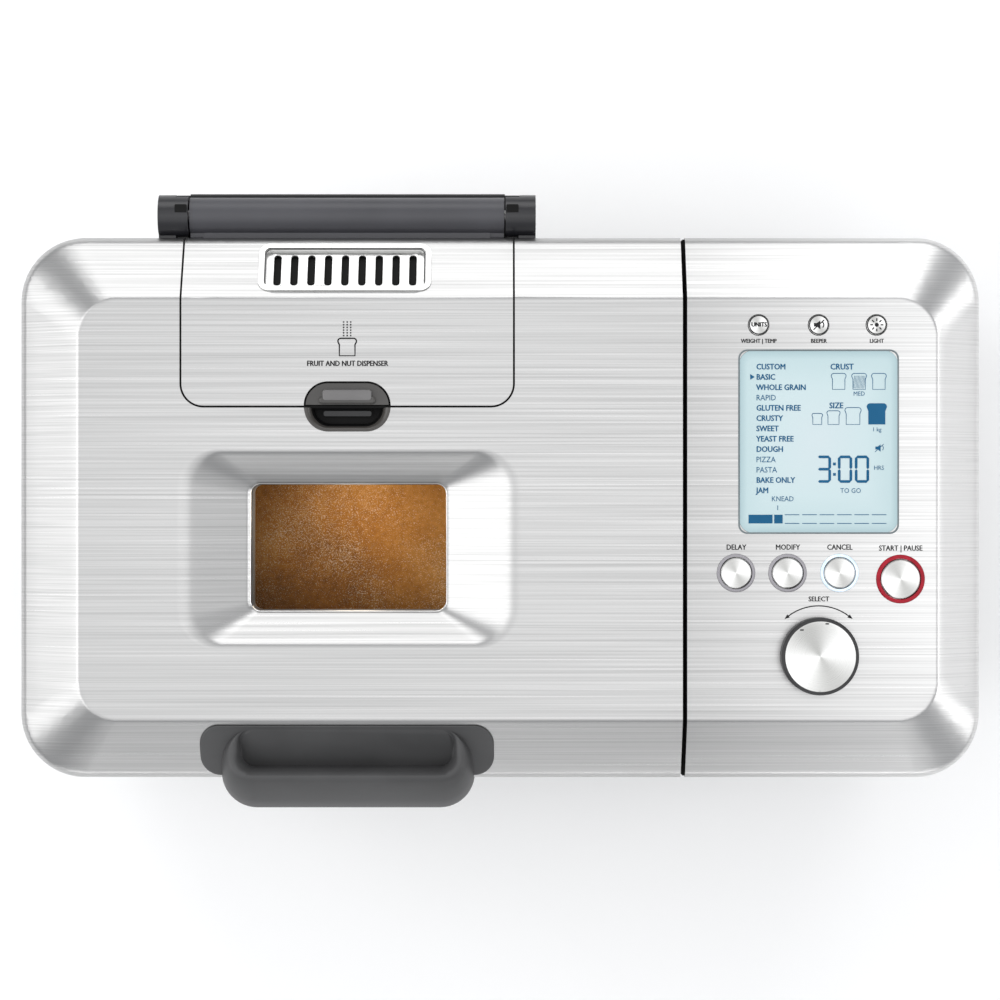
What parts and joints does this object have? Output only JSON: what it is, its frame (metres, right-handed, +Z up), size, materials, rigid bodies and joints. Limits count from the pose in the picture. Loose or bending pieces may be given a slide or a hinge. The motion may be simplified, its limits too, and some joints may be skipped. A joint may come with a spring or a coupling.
{
  "type": "bread machine",
  "caption": "Bread machine with a hinged windowed lid, a vented dispenser lid, a control panel with a dial, and a belt-driven lift-out pan.",
  "frame": {"origin": "on the worktop, below the middle of the machine's overall box", "axes": "+X to the right of someone at the front, +Y to the back, +Z up"},
  "size_m": [0.413, 0.2657, 0.354],
  "materials": {
    "brushed_steel": "satin, brushed from side to side",
    "housing_steel": "satin, brushed",
    "zinc_steel": "bright zinc plate",
    "dark_plastic": "fine matt grain",
    "grip_rubber": "soft, matt",
    "black_plastic": "fine matt grain",
    "liner_steel": "plain mill finish",
    "grey_plastic": "moulded",
    "window_glass": "clear, polished",
    "seal_silicone": "matt silicone",
    "display_lens": "pale blue, lit from behind",
    "circuit_board": "solder mask",
    "button_grey": "satin metallic paint",
    "ring_grey": "satin",
    "ring_blue": "translucent, lit",
    "ring_red": "translucent, lit",
    "brushed_aluminium": "turned face",
    "pan_coating": "non-stick coating on cast aluminium",
    "element_sheath": "heat-dulled tube",
    "shaft_steel": "ground",
    "bush_bronze": "sintered",
    "motor_case": "satin paint",
    "belt_rubber": "ribbed",
    "lamp_glass": "clear"
  },
  "bodies": {
    "housing": {"base_tray": "black_plastic", "rubber_feet": "grip_rubber", "housing_shell": "housing_steel", "hinge_bracket": "black_plastic", "top_deck": "black_plastic", "side_grips": "dark_plastic", "cord_grommet": "grip_rubber", "case_screws": "zinc_steel", "oven_chamber": "zinc_steel", "chamber_lamp": "lamp_glass", "temperature_probe": "zinc_steel", "heating_element": "element_sheath", "chassis_plate": "zinc_steel", "spindle_bush": "bush_bronze", "drive_motor": "motor_case", "drive_belt": "belt_rubber", "power_board": "circuit_board", "panel_cover": "brushed_steel", "panel_carrier": "grey_plastic", "control_board": "circuit_board", "display_lens": "display_lens", "plain_rings": "ring_grey", "cancel_ring": "ring_blue", "start_ring": "ring_red", "dial_encoder": "grey_plastic"},
    "lid": {"lid_skin": "brushed_steel", "window_glass": "window_glass", "window_gasket": "seal_silicone", "lid_liner": "liner_steel", "lid_seal": "seal_silicone", "dispenser_box": "grey_plastic", "solenoid_coil": "motor_case", "latch_cup": "dark_plastic", "lid_handle": "grip_rubber", "hinge_caps": "dark_plastic", "hinge_pin": "zinc_steel"},
    "dispenser_lid": {"dispenser_lid_skin": "brushed_steel", "vent_grille": "brushed_steel", "dispenser_lid_liner": "grey_plastic", "hinge_barrel": "dark_plastic"},
    "latch": {"latch_lever": "dark_plastic"},
    "flap": {"dispenser_flap": "grey_plastic"},
    "plunger": {"solenoid_plunger": "shaft_steel"},
    "units_button": {"units_button": "button_grey"},
    "beeper_button": {"beeper_button": "button_grey"},
    "light_button": {"light_button": "button_grey"},
    "delay_start_button": {"delay_start_button": "button_grey"},
    "modify_button": {"modify_button": "button_grey"},
    "cancel_button": {"cancel_button": "button_grey"},
    "start_pause_button": {"start_pause_button": "button_grey"},
    "dial": {"dial_knob": "dark_plastic", "dial_cap": "brushed_aluminium"},
    "pan": {"bread_pan": "pan_coating"},
    "pan_handle": {"pan_handle": "zinc_steel"},
    "paddle": {"pan_shaft": "shaft_steel", "paddle_hub": "pan_coating"},
    "blade": {"kneading_blade": "pan_coating"},
    "drive": {"drive_spindle": "zinc_steel", "large_pulley": "grey_plastic"},
    "rotor": {"motor_pulley": "shaft_steel"}
  },
  "joints": [
    {"name": "lid_hinge", "type": "hinge", "parent": "housing", "child": "lid", "pos_m": [-0.0644, 0.12295, 0.318], "axis": [-1, 0, 0], "range_deg": [0, 88]},
    {"name": "dispenser_lid_hinge", "type": "hinge", "parent": "lid", "child": "dispenser_lid", "pos_m": [-0.0644, 0.12295, 0.318], "axis": [-1, 0, 0], "range_deg": [0, 80]},
    {"name": "latch_pivot", "type": "hinge", "parent": "dispenser_lid", "child": "latch", "pos_m": [-0.06495, 0.04645, 0.3422], "axis": [-1, 0, 0], "range_deg": [0, 12], "stiffness_Nm_per_rad": 0.02, "springref_deg": -11.46},
    {"name": "flap_hinge", "type": "hinge", "parent": "lid", "child": "flap", "pos_m": [-0.0644, 0.07475, 0.3152], "axis": [1, 0, 0], "range_deg": [0, 50], "stiffness_Nm_per_rad": 0.02, "springref_deg": -28.65},
    {"name": "plunger_slide", "type": "slide", "parent": "lid", "child": "plunger", "axis": [0, -1, 0], "range_m": [0, 0.0062]},
    {"name": "pan_lift", "type": "slide", "parent": "housing", "child": "pan", "axis": [0, 0, 1], "range_m": [0, 0.035]},
    {"name": "pan_handle_swing", "type": "hinge", "parent": "pan", "child": "pan_handle", "pos_m": [-0.0644, -0.00325, 0.228], "axis": [-1, 0, 0], "range_deg": [0, 180]},
    {"name": "paddle_spin", "type": "hinge", "parent": "pan", "child": "paddle", "pos_m": [-0.0644, -0.00325, 0.1], "axis": [0, 0, 1], "continuous": true},
    {"name": "blade_fold", "type": "hinge", "parent": "paddle", "child": "blade", "pos_m": [-0.0644, -0.00325, 0.1108], "axis": [-1, 0, 0], "range_deg": [0, 80]},
    {"name": "drive_spin", "type": "hinge", "parent": "housing", "child": "drive", "pos_m": [-0.0644, -0.00325, 0.026], "axis": [0, 0, 1], "continuous": true},
    {"name": "motor_spin", "type": "hinge", "parent": "housing", "child": "rotor", "pos_m": [0.14, -0.00325, 0.026], "axis": [0, 0, 1], "continuous": true},
    {"name": "dial_turn", "type": "hinge", "parent": "housing", "child": "dial", "pos_m": [0.1354, -0.0662, 0.345], "axis": [0, 0, 1], "continuous": true},
    {"name": "units_press", "type": "slide", "parent": "housing", "child": "units_button", "axis": [0, 0, -1], "range_m": [0, 0.001], "stiffness_N_per_m": 600, "springref_m": -0.0005},
    {"name": "beeper_press", "type": "slide", "parent": "housing", "child": "beeper_button", "axis": [0, 0, -1], "range_m": [0, 0.001], "stiffness_N_per_m": 600, "springref_m": -0.0005},
    {"name": "light_press", "type": "slide", "parent": "housing", "child": "light_button", "axis": [0, 0, -1], "range_m": [0, 0.001], "stiffness_N_per_m": 600, "springref_m": -0.0005},
    {"name": "delay_start_press", "type": "slide", "parent": "housing", "child": "delay_start_button", "axis": [0, 0, -1], "range_m": [0, 0.001], "stiffness_N_per_m": 600, "springref_m": -0.0005},
    {"name": "modify_press", "type": "slide", "parent": "housing", "child": "modify_button", "axis": [0, 0, -1], "range_m": [0, 0.001], "stiffness_N_per_m": 600, "springref_m": -0.0005},
    {"name": "cancel_press", "type": "slide", "parent": "housing", "child": "cancel_button", "axis": [0, 0, -1], "range_m": [0, 0.001], "stiffness_N_per_m": 600, "springref_m": -0.0005},
    {"name": "start_pause_press", "type": "slide", "parent": "housing", "child": "start_pause_button", "axis": [0, 0, -1], "range_m": [0, 0.001], "stiffness_N_per_m": 600, "springref_m": -0.0005}
  ],
  "couplings": [
    {"joint": "motor_spin", "follows": "drive_spin", "ratio": 5},
    {"joint": "paddle_spin", "follows": "drive_spin", "ratio": 1},
    {"joint": "plunger_slide", "follows": "flap_hinge", "m_per_rad": 0.007}
  ]
}
